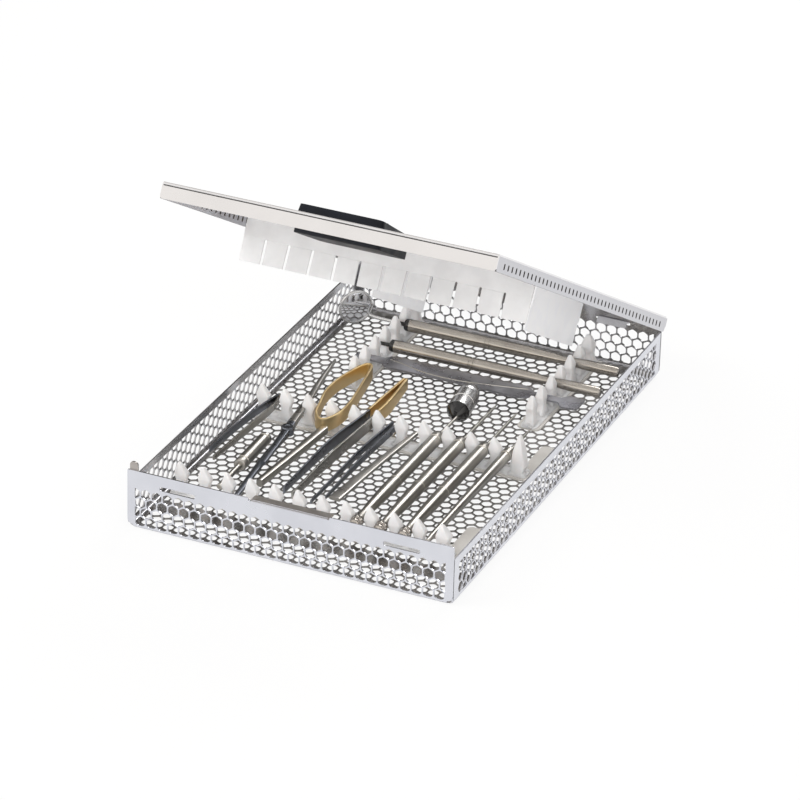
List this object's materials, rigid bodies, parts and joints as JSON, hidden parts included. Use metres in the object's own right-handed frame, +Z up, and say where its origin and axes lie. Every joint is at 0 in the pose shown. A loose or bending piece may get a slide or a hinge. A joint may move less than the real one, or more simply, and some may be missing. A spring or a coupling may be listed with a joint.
{
  "type": "instrument sterilization tray",
  "caption": "Shallow hexagon-perforated steel tray with a hinged latching lid, silicone racks and dental instruments lying in them.",
  "frame": {"origin": "middle of the tray floor's underside, which rests on the table", "axes": "+X right along the front wall, +Y to the hinged rear, +Z up"},
  "size_m": [0.1822, 0.285, 0.1754],
  "materials": {
    "tray_steel": "electropolished, slightly warm stainless steel",
    "lid_steel": "electropolished stainless steel",
    "silicone": "milky translucent silicone",
    "latch_plastic": "fine-grained black plastic",
    "instrument_steel": "satin turned stainless steel",
    "dark_steel": "dark satin steel",
    "gold_plate": "satin gold plating",
    "mirror_glass": "polished mirror in a steel rim"
  },
  "bodies": {
    "tray": {"tray_floor": "tray_steel", "front_wall": "tray_steel", "rear_wall": "tray_steel", "left_wall": "tray_steel", "right_wall": "tray_steel", "catch_lip": "tray_steel", "corner_ear": "tray_steel", "front_rail": "tray_steel", "middle_rail": "tray_steel", "rear_left_rail": "tray_steel", "rear_right_rail": "tray_steel", "front_rack": "silicone", "middle_rack": "silicone", "rear_left_rack": "silicone", "rear_right_rack": "silicone", "round_handle_1": "instrument_steel", "round_handle_2": "instrument_steel", "round_handle_3": "instrument_steel", "slim_handle": "instrument_steel", "mirror_handle": "instrument_steel", "rear_handle": "instrument_steel", "tube_handle": "instrument_steel", "scissors": "dark_steel", "fine_forceps": "dark_steel", "flat_tweezers": "dark_steel", "gold_forceps": "gold_plate", "needle_holder": "gold_plate", "tapered_blade": "instrument_steel", "retractor": "instrument_steel", "mouth_mirror": "mirror_glass"},
    "lid": {"lid_plate": "lid_steel", "lid_front_flange": "lid_steel", "lid_rear_flange": "lid_steel", "lid_left_flange": "lid_steel", "lid_right_flange": "lid_steel", "hold_down_comb": "silicone", "left_hold_down": "silicone", "right_hold_down": "silicone", "latch_cover": "latch_plastic", "latch_body": "latch_plastic"},
    "latch": {"latch_slide": "latch_plastic"}
  },
  "joints": [
    {"name": "lid_hinge", "type": "hinge", "parent": "tray", "child": "lid", "pos_m": [0, 0.1396, 0.026], "axis": [-1, 0, 0], "range_deg": [-30.5, 14.5], "deforming": ["hold_down_comb", "left_hold_down", "right_hold_down"]},
    {"name": "latch_travel", "type": "slide", "parent": "lid", "child": "latch", "axis": [0, -0.8616, 0.5075], "range_m": [0, 0.009]}
  ]
}
